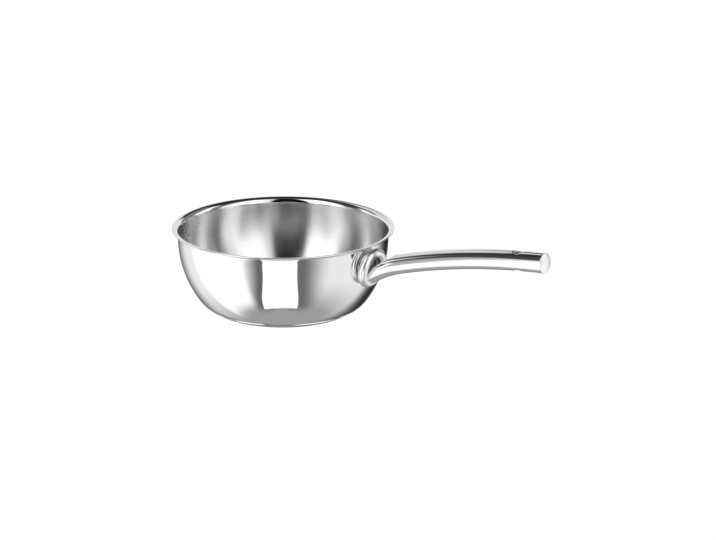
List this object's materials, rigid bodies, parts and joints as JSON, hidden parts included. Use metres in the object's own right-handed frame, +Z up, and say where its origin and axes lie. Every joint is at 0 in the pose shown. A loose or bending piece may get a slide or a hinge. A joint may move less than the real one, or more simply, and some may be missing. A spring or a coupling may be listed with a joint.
{
  "type": "saucier pan",
  "caption": "Round-bottomed stainless saucier pan with a pouring lip, a capped base and a curved tubular handle welded to the wall.",
  "frame": {"origin": "centre of the flat underside, on the surface that the pan stands on", "axes": "+X along the handle, +Z up along the bowl's axis"},
  "size_m": [0.4001, 0.2136, 0.1082],
  "materials": {
    "bowl_steel": "stainless steel, mirror-polished outside, satin inside",
    "core_aluminium": "plain, sealed inside the base",
    "cap_steel": "magnetic stainless steel, polished rim and lathe-finished underside",
    "saddle_steel": "stainless steel, as pressed",
    "ring_steel": "satin-polished stainless steel",
    "tube_steel": "polished stainless steel",
    "sleeve_steel": "stainless steel, as drawn",
    "end_steel": "satin stainless steel"
  },
  "bodies": {
    "root": {"bowl": "bowl_steel", "core_disc": "core_aluminium", "base_cap": "cap_steel", "weld_saddle": "saddle_steel", "handle_ring": "ring_steel", "handle_tube": "tube_steel", "hanging_sleeve": "sleeve_steel", "end_cap": "end_steel"}
  },
  "joints": []
}
